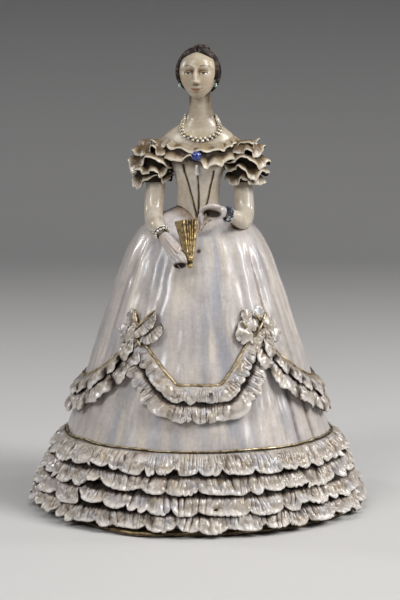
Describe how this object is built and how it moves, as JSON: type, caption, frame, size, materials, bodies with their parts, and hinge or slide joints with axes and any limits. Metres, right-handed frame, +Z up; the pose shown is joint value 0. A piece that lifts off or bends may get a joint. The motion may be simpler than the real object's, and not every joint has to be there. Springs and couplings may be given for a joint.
{
  "type": "ceramic figurine",
  "caption": "Hand-built glazed ceramic figurine of a lady in a tiered nineteenth-century ball gown, with a folded gilt fan, a blue brooch and bead jewellery, on a thin slab.",
  "frame": {"origin": "middle of the flat underside of the slab", "axes": "+Z up, the figure faces -Y, +X to the viewer's right"},
  "size_m": [0.3311, 0.3159, 0.4509],
  "materials": {
    "glazed_clay": "glossy pearl white and grey-beige glaze with pale blue and ochre streaks, dark brown in the recesses, gilt edges, ivory skin, dark aubergine hair",
    "gilt": "antique gold lustre, worn dark in the folds",
    "cobalt_stone": "polished deep blue",
    "pearl": "satin cream",
    "crystal_beads": "faceted, silvery cream with dark gaps",
    "slate_beads": "polished dark blue with pale and teal stones",
    "teal_stone": "polished pale teal"
  },
  "bodies": {
    "root": {"figure": "glazed_clay", "fan": "gilt", "brooch": "cobalt_stone", "brooch_drop": "pearl", "necklace": "crystal_beads", "bracelet_right": "crystal_beads", "bracelet_left": "slate_beads", "earring_right": "teal_stone", "earring_left": "teal_stone"}
  },
  "joints": []
}
